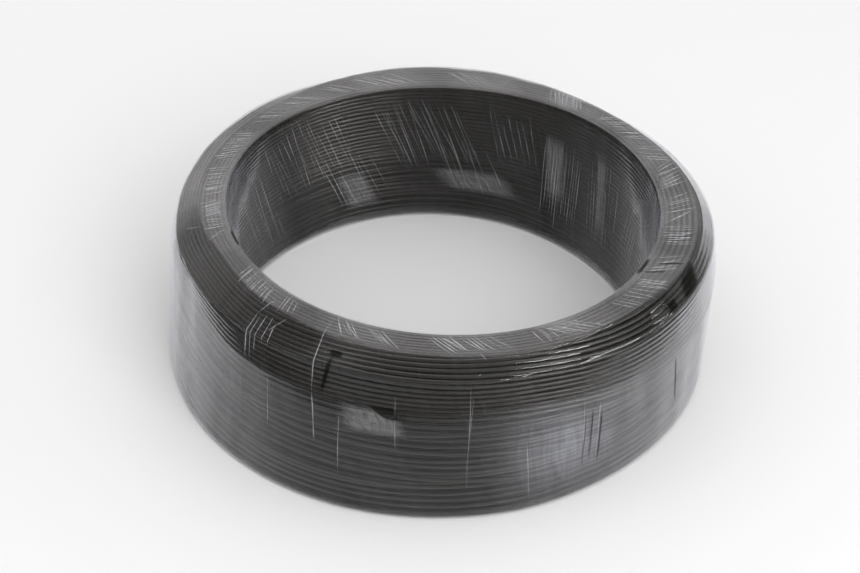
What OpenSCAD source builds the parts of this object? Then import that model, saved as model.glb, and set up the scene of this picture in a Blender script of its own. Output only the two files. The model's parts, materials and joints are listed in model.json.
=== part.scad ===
// Coil of vinyl-coated steel binding wire, wound into a dense ring with a bevelled outer shoulder and
// wrapped in clear stretch film. The coil lies on its flat end. The origin is at the centre of the
// base and +Z is the coil's own axis. Millimetres.

/* [Wire] */
// Diameter of the wire over its vinyl coat
wire_d = 2.8; // [2.0:0.1:4.0]
// How far neighbouring turns press into each other's vinyl
vinyl_nip = 0.05; // [0.05:0.05:0.3]

/* [Coil] */
// Inner diameter of the wound wire
coil_inner_d = 246; // [200:1:300]
// Height of the wound wire
coil_height = 96; // [70:1:130]
// Width of the winding at its base, from its inner side to its outer side
base_width = 36; // [30:1:60]
// Width of the flat top
flat_width = 20; // [8:1:25]
// How far below the top the bevel round the flat ends and the shoulder starts
bevel_drop = 9; // [4:1:15]
// How far below the top the shoulder ends and the outer side starts
shoulder_drop = 28; // [16:1:45]
// How far the shoulder leans in from its foot to the bevel
shoulder_lean = 3.5; // [1:0.5:8]
// How far the outer side leans in from the base to the shoulder
side_lean = 2.5; // [0:0.5:5]

/* [Film] */
// Thickness of the wrapped layers of stretch film
film_t = 0.4; // [0.3:0.1:1.0]
// Clearance between the film and the turns' crests
film_gap = 0.2; // [0.1:0.1:0.5]

/* [Hidden] */
$fn = 96;

wire_r = wire_d / 2;
turn_pitch = wire_d - vinyl_nip;
// The coil's hidden middle is solid, and reaches this share of a wire's radius past the wires' centres
core_share = 0.75;
// Steps in each rounded edge of the film
edge_steps = 6;

// How far the film's outer face stands out from the turns' crests
film_reach = film_gap + film_t;
// The first and last turns' centres across the winding and up it, with the film's base at height zero
inner_r = coil_inner_d / 2 + wire_r;
outer_r = coil_inner_d / 2 + base_width - wire_r;
flat_edge_r = coil_inner_d / 2 + flat_width - wire_r;
bottom_z = film_reach + wire_r;
top_z = film_reach + coil_height - wire_r;
// Centres of the six corner turns, anticlockwise in the (radius, height) half-plane
corners = [
    [inner_r, bottom_z],
    [outer_r, bottom_z],
    [outer_r - side_lean, top_z - shoulder_drop],
    [outer_r - side_lean - shoulder_lean, top_z - bevel_drop],
    [flat_edge_r, top_z],
    [inner_r, top_z]
];
sides = len(corners);

function corner(i) = corners[(i + sides) % sides];
// Direction, in degrees, in which the side that starts at corner i faces outward
function facing(i) = let (d = corner(i + 1) - corner(i)) atan2(d[1], d[0]) - 90;
// The angle from one side's facing to the next one's, always a left turn of under 180 degrees
function bend(i) = (facing(i) - facing(i - 1) + 720) % 360;
// The outline through the corner turns' centres, moved outward by distance r and kept sharp
function sharp_outline(r) = [for (i = [0:sides - 1])
    let (half = bend(i) / 2, middle = facing(i - 1) + half)
    corner(i) + r / cos(half) * [cos(middle), sin(middle)]];
// The same outline moved outward by r, with each corner an arc around its corner turn's centre
function round_outline(r) = [for (i = [0:sides - 1], s = [0:edge_steps])
    let (a = facing(i - 1) + bend(i) * s / edge_steps)
    corner(i) + r * [cos(a), sin(a)]];
// Centres of the turns that show along the side from corner i to the next
function turns_along(i) = let (d = corner(i + 1) - corner(i), n = ceil(norm(d) / turn_pitch))
    [for (k = [0:n - 1]) corner(i) + d * k / n];

module wire_coil() {
    color([0.10, 0.10, 0.11])
        rotate_extrude() {
            polygon(sharp_outline(core_share * wire_r));
            for (i = [0:sides - 1], centre = turns_along(i))
                translate(centre) circle(d = wire_d);
        }
}

module stretch_film() {
    color([0.80, 0.82, 0.85, 0.35])
        rotate_extrude()
            difference() {
                polygon(round_outline(wire_r + film_reach));
                polygon(round_outline(wire_r + film_gap));
            }
}

wire_coil();
stretch_film();
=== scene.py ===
import json
import math

import bpy
import numpy as np
from mathutils import Matrix, Vector


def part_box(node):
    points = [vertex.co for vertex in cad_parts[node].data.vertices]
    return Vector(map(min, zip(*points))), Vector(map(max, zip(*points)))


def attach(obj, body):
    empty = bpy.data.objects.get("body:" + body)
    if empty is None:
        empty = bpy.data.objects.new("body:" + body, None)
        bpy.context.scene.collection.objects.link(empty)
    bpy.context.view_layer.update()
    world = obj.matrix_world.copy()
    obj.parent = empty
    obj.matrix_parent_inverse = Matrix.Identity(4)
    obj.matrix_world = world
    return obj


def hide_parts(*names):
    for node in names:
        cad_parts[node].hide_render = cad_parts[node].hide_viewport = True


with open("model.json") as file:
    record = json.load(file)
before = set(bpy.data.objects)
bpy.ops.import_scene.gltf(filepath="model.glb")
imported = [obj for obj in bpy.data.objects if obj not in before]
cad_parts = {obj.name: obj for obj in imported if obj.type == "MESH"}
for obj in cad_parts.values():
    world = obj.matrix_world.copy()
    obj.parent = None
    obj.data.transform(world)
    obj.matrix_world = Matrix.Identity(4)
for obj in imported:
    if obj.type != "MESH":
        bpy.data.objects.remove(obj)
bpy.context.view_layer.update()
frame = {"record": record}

# A coil of black vinyl-coated binding wire, wrapped in clear stretch film. Metres throughout.
# A place on the coil is an azimuth about +Z (0 at +X, -90 degrees at the front) and a distance
# along the section, which runs from the inner top edge out over the flat top, down the bevel, the
# shoulder and the side, in under the base and up the bore.

MM = 0.001
TURN = 2 * math.pi

# ---------------------------------------------------------------- sizes, from the CAD and its record
WIRE_R = 1.4 * MM
FLAT_WIDTH = 20 * MM
BEVEL_DROP = 9 * MM
SHOULDER_DROP = 28 * MM
SHOULDER_LEAN = 3.5 * MM
SIDE_LEAN = 2.5 * MM

wire_low, wire_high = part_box("wire_coil")
film_low, film_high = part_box("stretch_film")
bore = next(m for m in frame["record"]["mounts"] if m["name"] == "bore")
FILM_REACH = film_high.x - wire_high.x
INNER_R = bore["dims"]["r_mm"] * MM + FILM_REACH + WIRE_R
OUTER_R = wire_high.x - WIRE_R
BOTTOM_Z = wire_low.z + WIRE_R
TOP_Z = wire_high.z - WIRE_R

# The corner turns' centres in the order of the section: (radius, height)
INNER_TOP, FLAT_EDGE, BEVEL_FOOT, SHOULDER_FOOT, OUTER_BASE, INNER_BASE = range(6)
CORNERS = np.array([
    [INNER_R, TOP_Z],
    [INNER_R + FLAT_WIDTH - 2 * WIRE_R, TOP_Z],
    [OUTER_R - SIDE_LEAN - SHOULDER_LEAN, TOP_Z - BEVEL_DROP],
    [OUTER_R - SIDE_LEAN, TOP_Z - SHOULDER_DROP],
    [OUTER_R, BOTTOM_Z],
    [INNER_R, BOTTOM_Z],
])
SIDES = len(CORNERS)
EDGE_LENGTHS = np.linalg.norm(np.roll(CORNERS, -1, axis=0) - CORNERS, axis=1)
EDGE_STARTS = np.concatenate([[0], np.cumsum(EDGE_LENGTHS)])
CLOSED_RADII = np.append(CORNERS[:, 0], CORNERS[0, 0])
SECTION_LENGTH = float(EDGE_STARTS[-1])

# How far each corner bulges out of round, in millimetres, every 45 degrees from +X
BULGES = {
    INNER_TOP: (0.7, 1.0, -0.2, 3.0, 1.0, -1.6, 0.0, 1.9),
    FLAT_EDGE: (4.6, -2.6, 5.1, 0.8, -1.1, -4.6, 0.6, 1.2),
    BEVEL_FOOT: (2.5, -1.0, 1.0, -0.9, -0.8, 0.5, 0.0, 0.8),
    SHOULDER_FOOT: (2.7, 0.3, 1.0, -1.0, -1.8, 0.0, 0.4, 0.0),
    OUTER_BASE: (0.3, 0.3, 2.7, -1.0, -4.2, 2.0, 3.8, -0.6),
    INNER_BASE: (-1.5, -1.9, 0.6, -2.9, -1.6, 1.0, 1.4, -0.8),
}
# How far each corner stands above its height, in millimetres, every 45 degrees from +X
RISES = {
    BEVEL_FOOT: (0.0, 0.0, 0.0, 6.5, 2.0, 0.5, 0.0, -0.5),
    SHOULDER_FOOT: (-4.5, -2.5, 0.0, 4.0, 8.0, 3.0, 3.0, -6.0),
}
# Dents: (corner, azimuth and reach in degrees, how far outward and how far up in millimetres)
DENTS = (
    (FLAT_EDGE, -68, 15, 2.6, 0.0), (FLAT_EDGE, -154, 11, -3.2, 0.0),
    (SHOULDER_FOOT, -150, 13, -2.4, 5.5), (SHOULDER_FOOT, -66, 15, 0.0, 3.0),
    (OUTER_BASE, -70, 14, 1.0, 0.0),
)
TOP_SHIFT = 2.6 * MM          # the top sits this far to +X of the base
TOP_LEAN = (0.014, -0.006)    # and rises this much per metre along X and along Y


def round_the_coil(values, az):
    """Smooth values between eight that stand 45 degrees apart."""
    waves = np.fft.rfft(values) / len(values)
    total = np.full_like(az, waves[0].real)
    for k in range(1, len(waves)):
        share = 1 if 2 * k == len(values) else 2
        total = total + share * (waves[k].real * np.cos(k * az) - waves[k].imag * np.sin(k * az))
    return total


def dents_at(corner, az):
    """How far the dents move a corner outward and up at each azimuth, in millimetres."""
    out, up = np.zeros_like(az), np.zeros_like(az)
    for place, centre, reach, dent_out, dent_up in DENTS:
        if place == corner:
            away = np.mod(np.degrees(az) - centre + 180, 360) - 180
            share = np.exp(-(away / reach) ** 2)
            out = out + dent_out * share
            up = up + dent_up * share
    return out, up


def corners_at(az):
    """Radii and heights of the corners at each azimuth, as two lists of arrays."""
    radii, heights = [], []
    for i, (r, z) in enumerate(CORNERS):
        share = (z - BOTTOM_Z) / (TOP_Z - BOTTOM_Z)
        out, up = dents_at(i, az)
        radius = r + MM * (round_the_coil(BULGES[i], az) + out) + share * TOP_SHIFT * np.cos(az)
        height = z + share * radius * (TOP_LEAN[0] * np.cos(az) + TOP_LEAN[1] * np.sin(az))
        if i in RISES:
            height = height + MM * (round_the_coil(RISES[i], az) + up)
        radii.append(radius)
        heights.append(height)
    return radii, heights


# ---------------------------------------------------------------- the section
EDGE_ROUNDING = 2.6 * MM      # how far from a corner the surface starts to turn
LEAST_HEIGHT = 0.05 * MM      # nothing sinks into the floor


def edge_starts_at(spans):
    """Where each edge starts: turns slide over the flat's edge and the bevel's foot, not other corners."""
    top = spans[0] + spans[1] + spans[2]
    run = EDGE_STARTS[SHOULDER_FOOT]
    starts = [np.zeros_like(top), run * spans[0] / top, run * (spans[0] + spans[1]) / top]
    return starts + [np.full_like(top, s) for s in EDGE_STARTS[SHOULDER_FOOT:]]


def section_at(along, az):
    """(radius, height, outward angle) of the outermost turns' centres at each place and azimuth."""
    along, az = np.broadcast_arrays(np.clip(along, 0, SECTION_LENGTH), az)
    radii, heights = corners_at(az)
    spans, facings = [], []
    for i in range(SIDES):
        j = (i + 1) % SIDES
        dr, dz = radii[j] - radii[i], heights[j] - heights[i]
        spans.append(np.hypot(dr, dz))
        facings.append(np.arctan2(dr, -dz))
    facings[INNER_BASE] = np.mod(facings[INNER_BASE], TURN) - TURN
    starts = edge_starts_at(spans)
    r, z, angle = np.zeros_like(az), np.zeros_like(az), np.zeros_like(az)
    for i in range(SIDES):
        j = (i + 1) % SIDES
        before = facings[i - 1] + (TURN if i == 0 else 0)
        after = facings[j] - (TURN if j == 0 else 0)
        f = (along - starts[i]) / (starts[i + 1] - starts[i])
        near_start = np.clip(1 - f * spans[i] / EDGE_ROUNDING, 0, 1)
        near_end = np.clip(1 - (1 - f) * spans[i] / EDGE_ROUNDING, 0, 1)
        turned = facings[i] + (before - facings[i]) / 2 * near_start + (after - facings[i]) / 2 * near_end
        here = (along >= starts[i]) & (f <= 1)
        r = np.where(here, radii[i] + (radii[j] - radii[i]) * f, r)
        z = np.where(here, heights[i] + (heights[j] - heights[i]) * f, z)
        angle = np.where(here, turned, angle)
    return r, z, angle


def along_at(place):
    """Distance along the section of a place such as 2.5, halfway from corner 2 to corner 3."""
    return np.interp(place, range(SIDES + 1), EDGE_STARTS)


def on_coil(r, z, az):
    return np.stack(np.broadcast_arrays(r * np.cos(az), r * np.sin(az), z), axis=-1)


def surface_point(along, az, reach):
    """The point that stands reach out from the crests of the outermost turns."""
    r, z, angle = section_at(along, az)
    out = WIRE_R + reach
    return on_coil(r + out * np.cos(angle), np.maximum(z + out * np.sin(angle), LEAST_HEIGHT), az)


def field(seed, count, most_rounds, along_scale):
    """A smooth field of azimuth and place along the section, about -1 to 1, that closes at a full turn."""
    rng = np.random.default_rng(seed)
    rounds = rng.integers(1, most_rounds + 1, count)
    slopes = rng.normal(0, TURN / along_scale, count)
    starts = rng.uniform(0, TURN, count)

    def value(az, along):
        total = sum(np.cos(m * az + k * along + p) for m, k, p in zip(rounds, slopes, starts))
        return total / math.sqrt(count)

    return value


def wander(seed, t, low, high):
    """A smooth wander along the wire, about -1 to 1, of low to high waves a radian; no two turns match."""
    rng = np.random.default_rng(seed)
    count = 9
    rates = rng.uniform(low, high, count)
    starts = rng.uniform(0, TURN, count)
    return sum(np.cos(w * t + p) for w, p in zip(rates, starts)) / math.sqrt(count)


# ---------------------------------------------------------------- meshes
def add_mesh(name, verts, faces, uvs=None):
    mesh = bpy.data.meshes.new(name)
    mesh.from_pydata(verts.reshape(-1, 3).tolist(), [], faces.tolist())
    mesh.polygons.foreach_set("use_smooth", [True] * len(mesh.polygons))
    if uvs is not None:
        layer = mesh.uv_layers.new(name="UVMap")
        layer.data.foreach_set("uv", uvs.reshape(-1, 2)[faces.ravel()].ravel())
    mesh.update()
    piece = bpy.data.objects.new(name, mesh)
    bpy.context.scene.collection.objects.link(piece)
    return piece


def grid_faces(rows, columns, wrap_rows=False, wrap_columns=False):
    """Quads of a grid of rows x columns points, counted row by row."""
    i = np.arange(rows if wrap_rows else rows - 1)
    j = np.arange(columns if wrap_columns else columns - 1)
    i, j = [a.ravel() for a in np.meshgrid(i, j, indexing="ij")]
    i2, j2 = (i + 1) % rows, (j + 1) % columns
    return np.stack([i * columns + j, i * columns + j2, i2 * columns + j2, i2 * columns + j], axis=1)


# ---------------------------------------------------------------- wire
WIRE_STEPS = 200      # steps in a turn
WIRE_SIDES = 8        # sides of the tube
UNDER_INSET = 2.8 * MM   # how far the under layer's turns sit in behind the outermost ones
# Corners of the section with a closed turn of their own
EDGE_TURNS = {"wire_edge_top": INNER_TOP, "wire_edge_out": OUTER_BASE, "wire_edge_in": INNER_BASE}
# Where turns cross the side at a slant, as shares of its height from the shoulder down
STRAY_SHARES = (0.2, 0.42, 0.6, 0.78)
# Distance between neighbouring turns from each place along the section to the next
SPACING_PLACES = (0, 1, 2, 3, 4, 5, 5.45, 6)
SPACINGS = np.array([2.75, 2.85, 2.95, 3.7, 2.9, 3.7, 2.75]) * MM
SPACING_STARTS = along_at(SPACING_PLACES)
BUNCH_TIGHT, BUNCH_LOOSE = 0.25, 0.9       # how far turns shift along the section together, in millimetres
WANDER_TIGHT, WANDER_LOOSE = 0.12, 0.25    # how far each turn wanders on its own, in millimetres
TURN_SINK, TURN_RISE = 0.25, 0.16          # how far turns lie in from the section, give or take
LEAST_SINK = 0.02                          # and the least that they lie in
HOLLOW_FRONT, HOLLOW_SIDES = 1.5, 2.2      # depth of the side's hollow, and how much is added at +-X
TURN_KNOTS = np.concatenate([[0], np.cumsum(np.diff(SPACING_STARTS) / SPACINGS)])
TURNS = float(TURN_KNOTS[-1])
turns_drift = field(11, 8, 3, 70 * MM)
turns_bunch = field(14, 8, 4, 22 * MM)


def share_of_edge(corner, along):
    """0 at the start to 1 at the end of the edge after a corner."""
    return np.clip((along - EDGE_STARTS[corner]) / EDGE_LENGTHS[corner], 0, 1)


def looseness(along):
    """About 1 where turns are wound loosely, on the side and low in the bore, and 0 where they are tight."""
    side = np.sin(math.pi * share_of_edge(SHOULDER_FOOT, along))
    return side + 0.6 * np.sin(math.pi * np.clip(share_of_edge(INNER_BASE, along) / 0.6, 0, 1))


def turn_along(turn, az):
    """Distance along the section of the wire's centre, from the number of turns wound before it."""
    base = np.interp(turn, TURN_KNOTS, SPACING_STARTS)
    loose = looseness(base)
    drift = turns_drift(az, base) + (BUNCH_TIGHT + BUNCH_LOOSE * loose) * turns_bunch(az, base)
    drift = drift * np.sin(math.pi * base / SECTION_LENGTH) ** 0.3
    own = (WANDER_TIGHT + WANDER_LOOSE * loose) * wander(12, TURN * turn, 0.6, 2.4)
    return base + MM * (drift + own)


def hollow(along, az):
    """How far the side's turns sit in behind the film, which spans from the shoulder to the base."""
    depth = (HOLLOW_FRONT + HOLLOW_SIDES * np.abs(np.cos(az)) ** 1.5) * MM
    return depth * np.sin(math.pi * share_of_edge(SHOULDER_FOOT, along)) ** 0.7


def wire_line(turn):
    """Centres of the wire, as radius, height and azimuth."""
    az = TURN * turn
    along = turn_along(turn, az)
    lift = (-TURN_SINK + TURN_RISE * wander(13, az, 0.4, 2.2) * (1 + looseness(along))) * MM
    lift = np.minimum(lift, -LEAST_SINK * MM) - hollow(along, az)
    r, z, angle = section_at(along, az)
    return r + lift * np.cos(angle), z + lift * np.sin(angle), az


def tube(name, r, z, az):
    """A tube of the wire's size along a line of centres."""
    around = np.arange(WIRE_SIDES) * TURN / WIRE_SIDES
    rr = r[:, None] + WIRE_R * np.cos(around)
    zz = z[:, None] + WIRE_R * np.sin(around)
    verts = on_coil(rr, zz, np.repeat(az[:, None], WIRE_SIDES, axis=1))
    uvs = np.stack(np.broadcast_arrays((az * OUTER_R)[:, None], around * WIRE_R), axis=-1)
    return add_mesh(name, verts, grid_faces(len(r), WIRE_SIDES, wrap_columns=True), uvs)


def make_turns():
    """The outermost turns, one long wire in five pieces."""
    runs = {
        "wire_top": (INNER_TOP, BEVEL_FOOT),
        "wire_shoulder": (BEVEL_FOOT, SHOULDER_FOOT),
        "wire_side": (SHOULDER_FOOT, OUTER_BASE),
        "wire_base": (OUTER_BASE, INNER_BASE),
        "wire_bore": (INNER_BASE, SIDES),
    }
    pieces = []
    for name, places in runs.items():
        first, last = np.interp(along_at(places), SPACING_STARTS, TURN_KNOTS)
        steps = int(round((last - first) * WIRE_STEPS)) + 1
        pieces.append(tube(name, *wire_line(np.linspace(first, last, steps))))
    return pieces


def make_edge_turns():
    """Closed turns that fill the section's square corners, where the winding goes over from edge to edge."""
    az = np.linspace(0, TURN, WIRE_STEPS + 1)
    pieces = []
    for name, corner in EDGE_TURNS.items():
        along = EDGE_STARTS[corner] + 0.2 * MM * turns_drift(az, 0.0)
        lift = (-0.22 + 0.08 * turns_bunch(az, 0.0)) * MM
        r, z, angle = section_at(along, az)
        pieces.append(tube(name, r + lift * np.cos(angle), z + lift * np.sin(angle), az))
    return pieces


def make_strays():
    """Turns that cross the others at a slant on the loosely wound side."""
    rng = np.random.default_rng(21)
    pieces = []
    for k, share in enumerate(STRAY_SHARES):
        az = np.linspace(0, TURN, 361)
        slant = rng.uniform(5, 9) * np.cos(az - rng.uniform(0, TURN))
        sway = rng.uniform(1, 3) * np.cos(2 * az - rng.uniform(0, TURN))
        along = along_at(SHOULDER_FOOT + share) + MM * (slant + sway)
        lift = np.minimum(2.4 * MM - hollow(along, az), -0.1 * MM)
        r, z, angle = section_at(along, az)
        pieces.append(tube("wire_stray_%d" % k, r + lift * np.cos(angle), z + lift * np.sin(angle), az))
    return pieces


def make_under_layer():
    """The turns just under the outermost ones, as half-round ridges on the coil's hidden middle."""
    steps = 120
    ridges = int(TURNS * 1.1)
    az = np.linspace(0, TURN, steps, endpoint=False)
    rows = []
    for k in range(ridges):
        along = SECTION_LENGTH * k / ridges
        r, z, angle = section_at(along + 0.8 * MM * turns_drift(az, along), az)
        inset = UNDER_INSET + hollow(along, az)
        for slope in np.radians([75, 35, 0, -35, -75]):
            out = WIRE_R * np.cos(slope) - inset
            back = WIRE_R * np.sin(slope)
            rows.append(on_coil(r + out * np.cos(angle) - back * np.sin(angle),
                                z + out * np.sin(angle) + back * np.cos(angle), az))
    verts = np.stack(rows)
    length = np.arange(len(rows))[:, None] * SECTION_LENGTH / len(rows)
    uvs = np.stack(np.broadcast_arrays(az * OUTER_R, length), axis=-1)
    return add_mesh("wire_under", verts, grid_faces(len(rows), steps, True, True)[:, ::-1], uvs)


# ---------------------------------------------------------------- film
BANDS = 14
BAND_STEP = TURN / 13.5               # azimuth by which the film moves on in one turn round the section
BAND_START = math.radians(-176)       # azimuth of the first turn's middle at the inner top edge
BAND_WIDTH = 108 * MM
BAND_COLUMNS = 40
ROWS_PER_TURN = 4
LAYER_RISE = 0.22 * MM                # how far a band's one edge lies over the other
RAGGED = 1.5 * MM                     # how far a band's edges wander
BAND_REACH = 0.2                      # how far the film stands out from the turns, in millimetres,
BAND_SAG = 0.14                       # how far it dips between them,
TAUT_SHARE = 0.85                     # what share of the dip is missing where it spans the side,
BAND_WAVE = 0.07                      # how far it waves,
LEAST_REACH = 0.02                    # and the least that it stands out
BAND_UV_STEP = 0.2                    # the bands' UV maps lie this far apart
FADE_WIDTH = 32 * MM                  # over which a band's gloss gives way to the next band's
film_waves = field(31, 14, 60, 160 * MM)


def band_piece(k):
    """One turn of the film round the section, which lies over the last one's edge and dips between wires."""
    rows = round(TURNS * ROWS_PER_TURN)
    n = np.arange(rows + 1)[:, None]
    base = np.interp(n * TURNS / rows, TURN_KNOTS, SPACING_STARTS)
    across = np.linspace(-0.5, 0.5, BAND_COLUMNS) * BAND_WIDTH
    at_edge = np.sign(across) * (2 * across / BAND_WIDTH) ** 6
    ragged = RAGGED * np.sin(TURN * (base / (70 * MM) + 0.37 * k)) * at_edge
    radius = np.interp(base, EDGE_STARTS, CLOSED_RADII)
    az = BAND_START + BAND_STEP * (k + base / SECTION_LENGTH) + (across + ragged) / radius
    first = round(-ROWS_PER_TURN * (BAND_START + BAND_STEP * k) / TURN)
    share = np.mod((n + first) / ROWS_PER_TURN, 1)
    turn = (n + first) / ROWS_PER_TURN + az / TURN - share
    start, end = turn_along(turn, az), turn_along(turn + 1, az)
    inside = np.clip(np.minimum(n, rows - n) / (1.5 * ROWS_PER_TURN), 0, 1)
    along = base + (start + (end - start) * share - base) * inside
    loose = np.sin(math.pi * share_of_edge(SHOULDER_FOOT, base)) ** 0.3
    sag = BAND_SAG * (1 - TAUT_SHARE * loose) * (0.5 - 0.5 * np.cos(TURN * share))
    reach = BAND_REACH - sag + BAND_WAVE * (1 + loose) * film_waves(az, base)
    reach = np.maximum(reach, LEAST_REACH) * MM + LAYER_RISE * (0.5 - across / BAND_WIDTH)
    verts = surface_point(along, az, reach)
    uvs = np.stack(np.broadcast_arrays(across + BAND_UV_STEP * k, base), axis=-1)
    return add_mesh("film_band_%02d" % k, verts, grid_faces(*verts.shape[:2])[:, ::-1], uvs)


FOLD_STEP = 0.9 * MM     # length of a fold's steps
FOLD_LIFT = 0.42 * MM    # how far a fold's foot stands out from the turns' crests
BORE_FOLD_WIDTH = 0.28   # width of the bore's folds, in millimetres
PATCH_LIFT = 0.46        # how far a patch stands out at its edges, in millimetres,
PATCH_SWELL = 0.18       # and how much further in its middle


def fold_piece(name, folds, seed):
    """Pinched folds of film: narrow tents, each (azimuth, place, azimuth, place, width in millimetres)."""
    rng = np.random.default_rng(seed)
    verts, faces, uvs = [], [], []
    first = 0
    for k, (az0, place0, az1, place1, width) in enumerate(folds):
        start, end = along_at(place0), along_at(place1)
        radius = np.interp((start + end) / 2, EDGE_STARTS, CLOSED_RADII)
        steps = max(6, int(abs(end - start) / FOLD_STEP))
        f = np.linspace(0, 1, steps + 1)
        along = start + (end - start) * f
        bend = rng.normal(0, 0.07) * np.sin(math.pi * f) + rng.normal(0, 0.035) * np.sin(TURN * f)
        az = np.radians(az0 + (az1 - az0) * f + bend)
        slim = np.minimum(1, 5 * np.minimum(f, 1 - f)) * (1 + 0.3 * np.sin(rng.uniform(0, 6) + 9 * f))
        half = 0.5 * width * MM * slim
        crest = 0.5 + 0.5 * np.cos(TURN * (np.interp(along, SPACING_STARTS, TURN_KNOTS) - az / TURN))
        half = half * (0.5 + 0.5 * crest)
        height = 0.5 * width * MM * slim * (0.2 + 0.8 * crest)
        for shift, lift in ((-1, 0), (0, 1), (1, 0)):
            verts.append(surface_point(along, az + shift * half / radius, FOLD_LIFT + lift * height))
            uvs.append(np.stack([np.full(steps + 1, shift * 0.3 * MM + k), along], axis=-1))
        faces.append(first + grid_faces(3, steps + 1))
        first += 3 * (steps + 1)
    return add_mesh(name, np.concatenate(verts), np.concatenate(faces), np.concatenate(uvs))


def fan(rng, az0, az1, count, place0, place1, lean, width):
    """A group of nearly parallel folds from azimuth az0 to az1, each leaning by lean degrees."""
    folds = []
    for k in range(count):
        az = az0 + (az1 - az0) * (k + 0.5 + rng.normal(0, 0.18)) / count
        trim = (place1 - place0) * rng.uniform(0, 0.2, 2)
        tilt = lean * (1 + rng.normal(0, 0.06))
        size = width * rng.uniform(0.7, 1.3)
        folds.append((az, place0 + trim[0], az + tilt, place1 - trim[1], size))
    return folds


# Groups of folds on the flat top: (from azimuth, to azimuth, how many, lean in degrees, width in millimetres)
TOP_FANS = (
    (-178, -172, 7, 2, 0.5), (-170, -165, 4, 0.5, 0.45), (-164.5, -163, 1, 3.5, 0.5),
    (-147, -134, 13, 2, 0.5), (-131, -126, 4, 2, 0.45), (-115, -110, 5, 4.5, 0.7),
    (-107, -103, 5, 5.5, 0.7), (-92, -86, 6, 5, 0.9), (-84, -80, 4, 4, 0.7), (-79, -76, 3, 4, 0.4),
    (-67, -62, 4, 1, 0.45), (-64, -56, 8, 6, 0.6), (-45, -36, 6, 2.5, 0.45), (-35, -31, 6, 2.5, 0.5),
    (-29, -22, 6, 4, 0.45), (-16, -8, 10, 2, 0.5), (-7, -5.5, 2, 6, 0.6), (-3, 4, 5, 3, 0.45),
    (8, 18, 8, 3, 0.5), (22, 30, 5, -3, 0.5), (33, 46, 12, -4, 0.55), (50, 60, 8, 3, 0.5),
    (76, 84, 7, 6, 0.5), (96, 108, 9, 7, 0.5), (112, 118, 4, 6, 0.5), (123, 132, 5, 6, 0.5),
    (134, 142, 6, 5, 0.5), (149, 162, 11, 3, 0.5), (166, 179, 10, 2, 0.5),
)
# Groups of folds in the bore: (from azimuth, to azimuth, how many, lowest place, highest place, lean)
BORE_FANS = (
    (114, 142, 18, 5.35, 5.98, 13), (104, 120, 9, 5.1, 5.6, 15), (78, 102, 20, 5.35, 5.98, 14),
    (70, 86, 6, 5.15, 5.6, 14), (60, 74, 7, 5.45, 5.9, 9), (46, 59, 14, 5.08, 5.85, 0),
    (28, 42, 10, 5.1, 5.85, 3), (18, 27, 6, 5.2, 5.9, -4), (140, 160, 12, 5.1, 5.9, 13),
    (162, 184, 9, 5.1, 5.9, 8), (-172, -110, 24, 5.1, 5.98, 12), (-104, -30, 28, 5.1, 5.98, 12),
    (-24, 14, 14, 5.1, 5.98, 8),
)
# Single folds that run far, mostly over the bevel and the shoulder: (azimuth, place, azimuth, place, width)
LONG_FOLDS = (
    (-115.4, 0.05, -114.1, 3.0, 0.5), (-114.1, 3.0, -112.9, 3.45, 0.5), (-130.5, 0.55, -132, 1.35, 0.5),
    (-132, 1.35, -130.8, 2.98, 0.6), (-131, 1.3, -129.6, 2.9, 0.4), (-129.6, 1.2, -128.8, 2.6, 0.4),
    (-128, 1.2, -127.2, 2.2, 0.4), (-126.5, 1.35, -125.5, 2.2, 0.4), (-124.8, 1.0, -127, 1.8, 0.4),
    (-82.3, 2.0, -82.5, 3.8, 0.14), (-81.7, 2.4, -82.8, 3.65, 0.1), (-124.5, 3.0, -123.5, 3.5, 0.3),
    (-132, 3.0, -131, 3.6, 0.25), (-58.5, 3.05, -58, 3.7, 0.3), (-54.5, 3.05, -55, 3.7, 0.3),
    (-47.6, 2.9, -47, 3.3, 0.3), (-80, 1.05, -79, 1.3, 0.6), (-166.5, 1.0, -169, 1.8, 0.45),
    (-97, 2.6, -96.5, 3.4, 0.2), (-108, 3.1, -107.5, 3.7, 0.25), (-71, 3.3, -70, 3.9, 0.2),
)
# Places where the film is rucked up into a milky patch:
# (azimuth, half its width in degrees, lowest place, highest place, lean in degrees)
PATCHES = (
    (-102.5, 6.5, 3.02, 3.27, 2), (55, 4.5, 0.05, 1.0, 2), (-61, 4, 0.05, 0.5, 3),
    (36, 2.0, 5.25, 5.85, 3), (54, 3.4, 5.3, 5.8, 2), (76, 12, 5.2, 5.38, 6), (112, 5, 5.1, 5.42, 6),
    (-174, 4, 0.1, 0.8, 2), (10, 3, 0.1, 0.7, 3),
)
# Places where slack film is hazy, and where its pale violet milk also paints the glare of a highlight, in the
# same form
GLARE_HAZE_PATCHES = ((-63, 15, 2.86, 4.02, 2),)
# Painted shade: places where a near-black film darkens the coil to stand in for shadowed gaps and dark
# reflections, in the same form
PAINTED_SHADE_PATCHES = (
    (-22.5, 3.6, 1.0, 1.75, -3), (-32.5, 1.6, 1.3, 1.66, 0), (-110.5, 1.5, 1.5, 1.8, 0),
    (-111, 0.5, 1.8, 3.0, -1), (-99.8, 2.8, 3.0, 3.12, 2), (-32.3, 0.22, 3.05, 3.65, 2),
    (-57.8, 0.2, 3.2, 3.75, -0.5), (-56.2, 0.2, 3.15, 3.7, -0.5), (-54, 0.2, 3.2, 3.75, -0.5),
    (-24.3, 0.2, 0.2, 0.96, 3), (-28.8, 0.2, 0.1, 0.64, 3), (-160, 3.8, 0.0, 0.08, 0),
    (-26.5, 3.8, 0.0, 0.08, 0),
)


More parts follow.
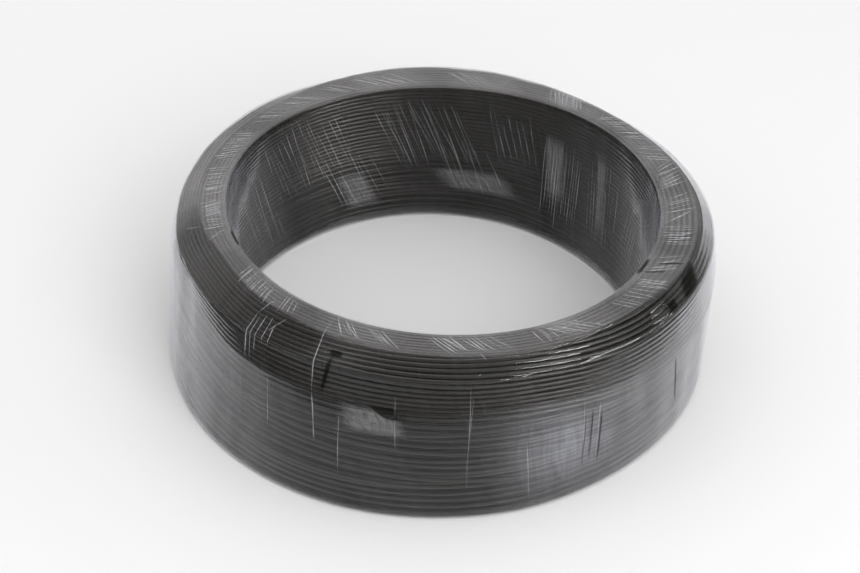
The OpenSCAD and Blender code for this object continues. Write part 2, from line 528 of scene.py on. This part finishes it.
def patch_piece(name, patches):
    """Patches that lie just over the film; each one's UV map runs from -1 to 1 both ways."""
    verts, faces, uvs = [], [], []
    first, columns = 0, 13
    for az0, half, place0, place1, lean in patches:
        start, end = along_at(place0), along_at(place1)
        rows = max(8, int((end - start) / MM))
        f = np.linspace(0, 1, rows)[:, None]
        across = np.linspace(-1, 1, columns)
        az = np.radians(az0 + lean * f + half * across)
        lift = (PATCH_LIFT + PATCH_SWELL * np.cos(across * math.pi / 2) * np.sin(math.pi * f) ** 0.5) * MM
        verts.append(surface_point(start + (end - start) * f, az, lift).reshape(-1, 3))
        uvs.append(np.stack(np.broadcast_arrays(across, 2 * f - 1), axis=-1).reshape(-1, 2))
        faces.append(first + grid_faces(rows, columns)[:, ::-1])
        first += rows * columns
    return add_mesh(name, np.concatenate(verts), np.concatenate(faces), np.concatenate(uvs))


def make_folds():
    """The folds on the flat top and over the shoulder, and then those in the bore."""
    rng = np.random.default_rng(41)
    top, inside = [], []
    for az0, az1, count, lean, width in TOP_FANS:
        top += fan(rng, az0, az1, count, 0.05, 1.0, lean, width)
    for az0, az1, count, low, high, lean in BORE_FANS:
        inside += fan(rng, az0, az1, count, low, high, lean * (high - low), BORE_FOLD_WIDTH)
    outer = fold_piece("film_folds_outer", LONG_FOLDS, 44)
    return [fold_piece("film_folds_top", top, 42), outer], fold_piece("film_folds_bore", inside, 43)


# ---------------------------------------------------------------- materials
def new_material(name):
    """An empty node material, with its nodes and links."""
    material = bpy.data.materials.new(name)
    material.use_nodes = True
    material.node_tree.nodes.clear()
    return material, material.node_tree.nodes, material.node_tree.links


def math_node(nodes, links, operation, *inputs):
    """The result of one operation on numbers or sockets."""
    node = nodes.new("ShaderNodeMath")
    node.operation = operation
    for socket, value in zip(node.inputs, inputs):
        if isinstance(value, (int, float)):
            socket.default_value = value
        else:
            links.new(value, socket)
    return node.outputs[0]


def noise_on_uv(nodes, links, scale, detail=2.0, roughness=0.5):
    """Noise over the UV map, which is in metres, with so many waves a metre along each direction."""
    place = nodes.new("ShaderNodeTexCoord")
    mapping = nodes.new("ShaderNodeMapping")
    mapping.inputs["Scale"].default_value = (*scale, 1)
    links.new(place.outputs["UV"], mapping.inputs["Vector"])
    noise = nodes.new("ShaderNodeTexNoise")
    noise.inputs["Scale"].default_value = 1
    noise.inputs["Detail"].default_value = detail
    noise.inputs["Roughness"].default_value = roughness
    links.new(mapping.outputs[0], noise.inputs["Vector"])
    return noise.outputs["Fac"]


def map_range(nodes, links, value, low, high, to_low, to_high):
    node = nodes.new("ShaderNodeMapRange")
    links.new(value, node.inputs["Value"])
    for name, number in (("From Min", low), ("From Max", high), ("To Min", to_low), ("To Max", to_high)):
        node.inputs[name].default_value = number
    return node.outputs[0]


def bump_node(nodes, links, height, distance):
    bump = nodes.new("ShaderNodeBump")
    bump.inputs["Strength"].default_value = 1
    bump.inputs["Distance"].default_value = distance
    links.new(height, bump.inputs["Height"])
    return bump.outputs[0]


def mix_shader(nodes, links, factor, first, second):
    mix = nodes.new("ShaderNodeMixShader")
    links.new(factor, mix.inputs[0])
    links.new(first, mix.inputs[1])
    links.new(second, mix.inputs[2])
    return mix.outputs[0]


def vinyl_material():
    """Black vinyl, semi-gloss, with slight scuffs along the wire."""
    material, nodes, links = new_material("black_vinyl")
    out = nodes.new("ShaderNodeOutputMaterial")
    shader = nodes.new("ShaderNodeBsdfPrincipled")
    colour = nodes.new("ShaderNodeMixRGB")
    colour.inputs[1].default_value = (0.020, 0.0188, 0.0168, 1)
    colour.inputs[2].default_value = (0.034, 0.0322, 0.030, 1)
    links.new(noise_on_uv(nodes, links, (25, 120), 3), colour.inputs[0])
    links.new(colour.outputs[0], shader.inputs["Base Color"])
    shader.inputs["Specular IOR Level"].default_value = 0.5
    scuff = noise_on_uv(nodes, links, (300, 900), 2)
    links.new(map_range(nodes, links, scuff, 0.3, 0.7, 0.09, 0.2), shader.inputs["Roughness"])
    links.new(bump_node(nodes, links, scuff, 0.012 * MM), shader.inputs["Normal"])
    links.new(shader.outputs[0], out.inputs[0])
    return material


def edge_fade(nodes, links):
    """1 over a band's middle and 0 at its edges, where the next band takes over; 1 all over other pieces."""
    place = nodes.new("ShaderNodeTexCoord")
    split = nodes.new("ShaderNodeSeparateXYZ")
    links.new(place.outputs["UV"], split.inputs[0])
    shifted = math_node(nodes, links, "ADD", split.outputs["X"], BAND_UV_STEP / 2)
    folded = math_node(nodes, links, "MODULO", shifted, BAND_UV_STEP)
    centred = math_node(nodes, links, "SUBTRACT", folded, BAND_UV_STEP / 2)
    across = math_node(nodes, links, "ABSOLUTE", centred)
    return map_range(nodes, links, across, BAND_WIDTH / 2 - FADE_WIDTH, BAND_WIDTH / 2, 1, 0.1)


MIRROR_FACE_ON = 0.015   # share of the light that the film mirrors where it is seen face on,
MIRROR_GLANCING = 0.985  # how much is added at a glancing angle,
MIRROR_POWER = 2.6       # and how late that comes


def film_material(name, haze_low, haze_high, roughness):
    """Clear film: mirror-like at a glancing angle, see-through face on, and a little milky in streaks."""
    material, nodes, links = new_material(name)
    out = nodes.new("ShaderNodeOutputMaterial")
    streaks = noise_on_uv(nodes, links, (420, 14), 3, 0.6)
    ripples = noise_on_uv(nodes, links, (90, 25), 2)
    normal = bump_node(nodes, links, math_node(nodes, links, "ADD", streaks, ripples), 0.06 * MM)
    clear = nodes.new("ShaderNodeBsdfTransparent")
    gloss = nodes.new("ShaderNodeBsdfGlossy")
    gloss.inputs["Color"].default_value = (0.96, 0.96, 1.0, 1)
    links.new(map_range(nodes, links, streaks, 0.3, 0.7, roughness, 2 * roughness), gloss.inputs["Roughness"])
    links.new(normal, gloss.inputs["Normal"])
    weight = nodes.new("ShaderNodeLayerWeight")
    links.new(normal, weight.inputs["Normal"])
    edge = math_node(nodes, links, "POWER", weight.outputs["Facing"], MIRROR_POWER)
    mirror = math_node(nodes, links, "MULTIPLY_ADD", edge, MIRROR_GLANCING, MIRROR_FACE_ON)
    mirror = math_node(nodes, links, "MULTIPLY", mirror, edge_fade(nodes, links))
    milk = nodes.new("ShaderNodeBsdfDiffuse")
    milk.inputs["Color"].default_value = (0.85, 0.85, 0.88, 1)
    haze = map_range(nodes, links, streaks, 0.45, 0.75, haze_low, haze_high)
    film = mix_shader(nodes, links, mirror, clear.outputs[0], gloss.outputs[0])
    links.new(mix_shader(nodes, links, haze, film, milk.outputs[0]), out.inputs[0])
    return material


def patch_material(name, tint, grain, share_low, share_high, core=0.6):
    """Film of one tint over its patch, in streaks or blots of grain waves each way.

    It is solid out to core of the way from the patch's middle, and fades from there to its edges.
    """
    material, nodes, links = new_material(name)
    out = nodes.new("ShaderNodeOutputMaterial")
    place = nodes.new("ShaderNodeTexCoord")
    split = nodes.new("ShaderNodeSeparateXYZ")
    links.new(place.outputs["UV"], split.inputs[0])
    inside = []
    for axis in ("X", "Y"):
        distance = math_node(nodes, links, "ABSOLUTE", split.outputs[axis])
        inside.append(map_range(nodes, links, distance, core, 1.0, 1, 0))
    body = math_node(nodes, links, "MULTIPLY", *inside)
    noise = noise_on_uv(nodes, links, grain, 4, 0.65)
    streaks = map_range(nodes, links, noise, 0.35, 0.7, share_low, share_high)
    clear = nodes.new("ShaderNodeBsdfTransparent")
    milk = nodes.new("ShaderNodeBsdfDiffuse")
    milk.inputs["Color"].default_value = tint
    haze = math_node(nodes, links, "MULTIPLY", body, streaks)
    links.new(mix_shader(nodes, links, haze, clear.outputs[0], milk.outputs[0]), out.inputs[0])
    return material


def give(piece, material, node):
    """Finishes a piece: its material, the body it rides on and the CAD node it stands for."""
    piece.data.materials.append(material)
    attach(piece, "root")
    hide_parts(node)


# ---------------------------------------------------------------- studio
SOFT_LIGHT = 0.77       # the world's strength as a light; where it is seen, it is plain white
ROOM = 2.4              # radius of the card that stands for the room


def make_floor():
    """A plain white floor, a little brighter behind the coil; the darker white in front is painted shade."""
    size = 6.0
    verts = np.array([[-size, -size, 0], [size, -size, 0], [size, size, 0], [-size, size, 0]])
    floor = add_mesh("floor", verts, np.array([[0, 1, 2, 3]]))
    material, nodes, links = new_material("floor_white")
    out = nodes.new("ShaderNodeOutputMaterial")
    shader = nodes.new("ShaderNodeBsdfPrincipled")
    place = nodes.new("ShaderNodeTexCoord")
    split = nodes.new("ShaderNodeSeparateXYZ")
    links.new(place.outputs["Object"], split.inputs[0])
    # Painted shade: the white is a little darker towards the front, where less light falls
    links.new(map_range(nodes, links, split.outputs["Y"], -0.3, 0.4, 0.92, 0.95), shader.inputs["Base Color"])
    shader.inputs["Roughness"].default_value = 0.55
    shader.inputs["Specular IOR Level"].default_value = 0.3
    links.new(shader.outputs[0], out.inputs[0])
    floor.data.materials.append(material)


def add_card(name, rows, dark, light, front=0.0, back=1.0, room=None):
    """A card that only reflections show: dark at Y = front, light at Y = back.

    A card that stands for a room of this radius is darker low down and to the sides as well.
    """
    verts = np.stack(rows)
    card = add_mesh(name, verts, grid_faces(*verts.shape[:2]))
    material, nodes, links = new_material(name + "_glow")
    out = nodes.new("ShaderNodeOutputMaterial")
    shader = nodes.new("ShaderNodeEmission")
    shader.inputs["Color"].default_value = (1.0, 0.98, 0.96, 1)
    place = nodes.new("ShaderNodeTexCoord")
    split = nodes.new("ShaderNodeSeparateXYZ")
    links.new(place.outputs["Object"], split.inputs[0])
    strength = map_range(nodes, links, split.outputs["Y"], front, back, dark, light)
    if room:
        height = map_range(nodes, links, split.outputs["Z"], 0, 0.58 * room, 0.1, 1)
        across = math_node(nodes, links, "ABSOLUTE", split.outputs["X"])
        middle = map_range(nodes, links, across, 0.08 * room, 0.5 * room, 1, 0.5)
        share = math_node(nodes, links, "MULTIPLY", height, middle)
        strength = math_node(nodes, links, "MULTIPLY", strength, share)
    links.new(strength, shader.inputs["Strength"])
    links.new(shader.outputs[0], out.inputs[0])
    card.data.materials.append(material)
    card.visible_camera = False
    card.visible_diffuse = False
    card.visible_shadow = False
    card.visible_transmission = False


def arc(start, end, count):
    """Azimuths from start to end degrees."""
    return np.radians(np.linspace(start, end, count))


def standing(r, low, high, az):
    """The lower and upper edge of a card that stands on an arc round the coil."""
    return [on_coil(r, low, az), on_coil(r, high, az)]


def level(half_width, front, back, height):
    """The front and back edge of a level card over the coil."""
    return [np.array([(x, y, height) for x in (-half_width, half_width)]) for y in (front, back)]


def make_room_cards():
    """What the gloss shows all round: a dark ring low in front; a room dark in front and white behind."""
    az = arc(-205, 12, 60)
    ends = np.clip(np.minimum(np.degrees(az) + 205, 12 - np.degrees(az)) / 25, 0.05, 1)
    add_card("near_card", standing(0.25, 0.012, 0.012 + 0.05 * ends, az), 0.05, 0.3, 0.0, 0.25)
    az = arc(0, 360, 61)
    # Painted shade: a dim disc on the floor in the hole, which the gloss shows in place of that floor's shade
    add_card("hole_card", [on_coil(r, 0.002, az) for r in (0.001, 0.117)], 0.19, 0.22, -0.08, 0.08)
    az = arc(0, 360, 121)
    elevations = arc(3, 89.5, 16)
    rows = [on_coil(ROOM * math.cos(e), ROOM * math.sin(e), az) for e in elevations]
    add_card("far_card", rows, 0.08, 0.9, -0.1 * ROOM, 0.45 * ROOM, ROOM)


def make_light_cards():
    """Bright cards: two level ones over the coil, two that draw lines along the wires, two at the left."""
    add_card("overhead_card", level(0.6, 0.05, 0.6, 1.5), 2.0, 2.0)
    add_card("front_high_card", level(0.9, -0.62, -0.1, 1.5), 1.2, 1.2)
    az = np.linspace(-72, 4, 39)
    taper = np.interp(az, (-72, -30, 4), (0.02, 1, 0.02))
    az = np.radians(az)
    add_card("front_right_card", standing(1.15, 0.42 - 0.07 * taper, 0.42 + 0.07 * taper, az), 22.0, 22.0)
    add_card("key_card", standing(0.9, 0.93 - 0.09 * taper, 0.93 + 0.09 * taper, az), 14.0, 14.0)
    add_card("back_left_card", standing(1.6, 0.03, 0.85, arc(95, 150, 12)), 0.15, 0.55, 0.7, 1.3)
    add_card("left_card", standing(1.5, 0.2, 0.5, arc(150, 172, 5)), 2.0, 2.0)


def add_lamp(name, azimuth, elevation, distance, size, watts, mirrored=True):
    """A soft lamp that faces the coil from so many degrees round and up."""
    lamp = bpy.data.lights.new(name, "AREA")
    lamp.shape = "RECTANGLE"
    lamp.size, lamp.size_y = size
    lamp.energy = watts
    holder = bpy.data.objects.new(name, lamp)
    az, el = math.radians(azimuth), math.radians(elevation)
    direction = Vector((math.cos(az) * math.cos(el), math.sin(az) * math.cos(el), math.sin(el)))
    holder.location = distance * direction
    holder.rotation_euler = (-holder.location).to_track_quat("-Z", "Y").to_euler()
    holder.visible_glossy = mirrored
    bpy.context.scene.collection.objects.link(holder)


def make_light():
    """A world that is plain white where it is seen and softer as a light, and two soft lamps."""
    world = bpy.data.worlds.new("studio")
    bpy.context.scene.world = world
    world.use_nodes = True
    nodes, links = world.node_tree.nodes, world.node_tree.links
    background = nodes["Background"]
    background.inputs[0].default_value = (1, 1, 1, 1)
    path = nodes.new("ShaderNodeLightPath")
    seen = math_node(nodes, links, "MAXIMUM", path.outputs["Is Camera Ray"], path.outputs["Is Glossy Ray"])
    seen = math_node(nodes, links, "MAXIMUM", seen, path.outputs["Is Transmission Ray"])
    links.new(math_node(nodes, links, "MULTIPLY_ADD", seen, 1 - SOFT_LIGHT, SOFT_LIGHT), background.inputs[1])
    add_lamp("overhead", 90, 86, 1.5, (1.6, 0.5), 2)
    add_lamp("key", -62, 36, 2.0, (1.2, 1.2), 15, mirrored=False)


def make_camera():
    """A camera in front of the coil that looks down on it, turned a little about its own axis."""
    size = 0.157            # the coil's radius at the shoulder's foot, which the distances are shares of
    distance, across, up_by = 9.34, -0.020, 0.228
    elevation = math.radians(36.87)
    roll = math.radians(2.38)
    place = Vector((across, -distance * math.cos(elevation), distance * math.sin(elevation) + up_by)) * size
    forward = Vector((0, math.cos(elevation), -math.sin(elevation)))
    right = Vector((1, 0, 0))
    up = right.cross(forward)
    rolled_right = right * math.cos(roll) + up * math.sin(roll)
    rolled_up = up * math.cos(roll) - right * math.sin(roll)
    camera = bpy.data.cameras.new("camera")
    camera.sensor_width = 36
    camera.lens = 104.651
    holder = bpy.data.objects.new("camera", camera)
    rotation = Matrix((rolled_right, rolled_up, -forward)).transposed()
    holder.matrix_world = Matrix.Translation(place) @ rotation.to_4x4()
    bpy.context.scene.collection.objects.link(holder)
    bpy.context.scene.camera = holder


# ---------------------------------------------------------------- build
make_camera()
make_light()
make_floor()
make_room_cards()
make_light_cards()

vinyl = vinyl_material()
for piece in make_turns() + make_edge_turns() + make_strays() + [make_under_layer()]:
    give(piece, vinyl, "wire_coil")
film = film_material("stretch_film", 0.0, 0.012, 0.045)
for k in range(BANDS):
    give(band_piece(k), film, "stretch_film")
folded = film_material("folded_film", 0.35, 0.75, 0.12)
outer_folds, bore_folds = make_folds()
for piece in outer_folds:
    give(piece, folded, "stretch_film")
give(bore_folds, film_material("folded_film_inside", 0.2, 0.6, 0.12), "stretch_film")
rucked = patch_material("rucked_film", (0.85, 0.85, 0.88, 1), (9, 1.2), 0.04, 0.2)
give(patch_piece("film_patches", PATCHES), rucked, "stretch_film")
# Partly painted highlight: the milky patch's pale violet stands in for the glare on the side at the front
# right
glare_haze_material = patch_material("glare_haze_film", (0.8, 0.82, 0.92, 1), (14, 1.5), 0.1, 0.34, core=0.0)
give(patch_piece("film_glare_haze_patches", GLARE_HAZE_PATCHES), glare_haze_material, "stretch_film")
# Painted shade: a near-black film over these patches, in place of shade and dark reflections
painted_shade_material = patch_material("painted_shade_film", (0.008, 0.010, 0.006, 1), (3.5, 3.5), 0.35, 1.0)
give(patch_piece("film_painted_shade_patches", PAINTED_SHADE_PATCHES), painted_shade_material, "stretch_film")

bpy.context.scene.view_settings.view_transform = "Standard"
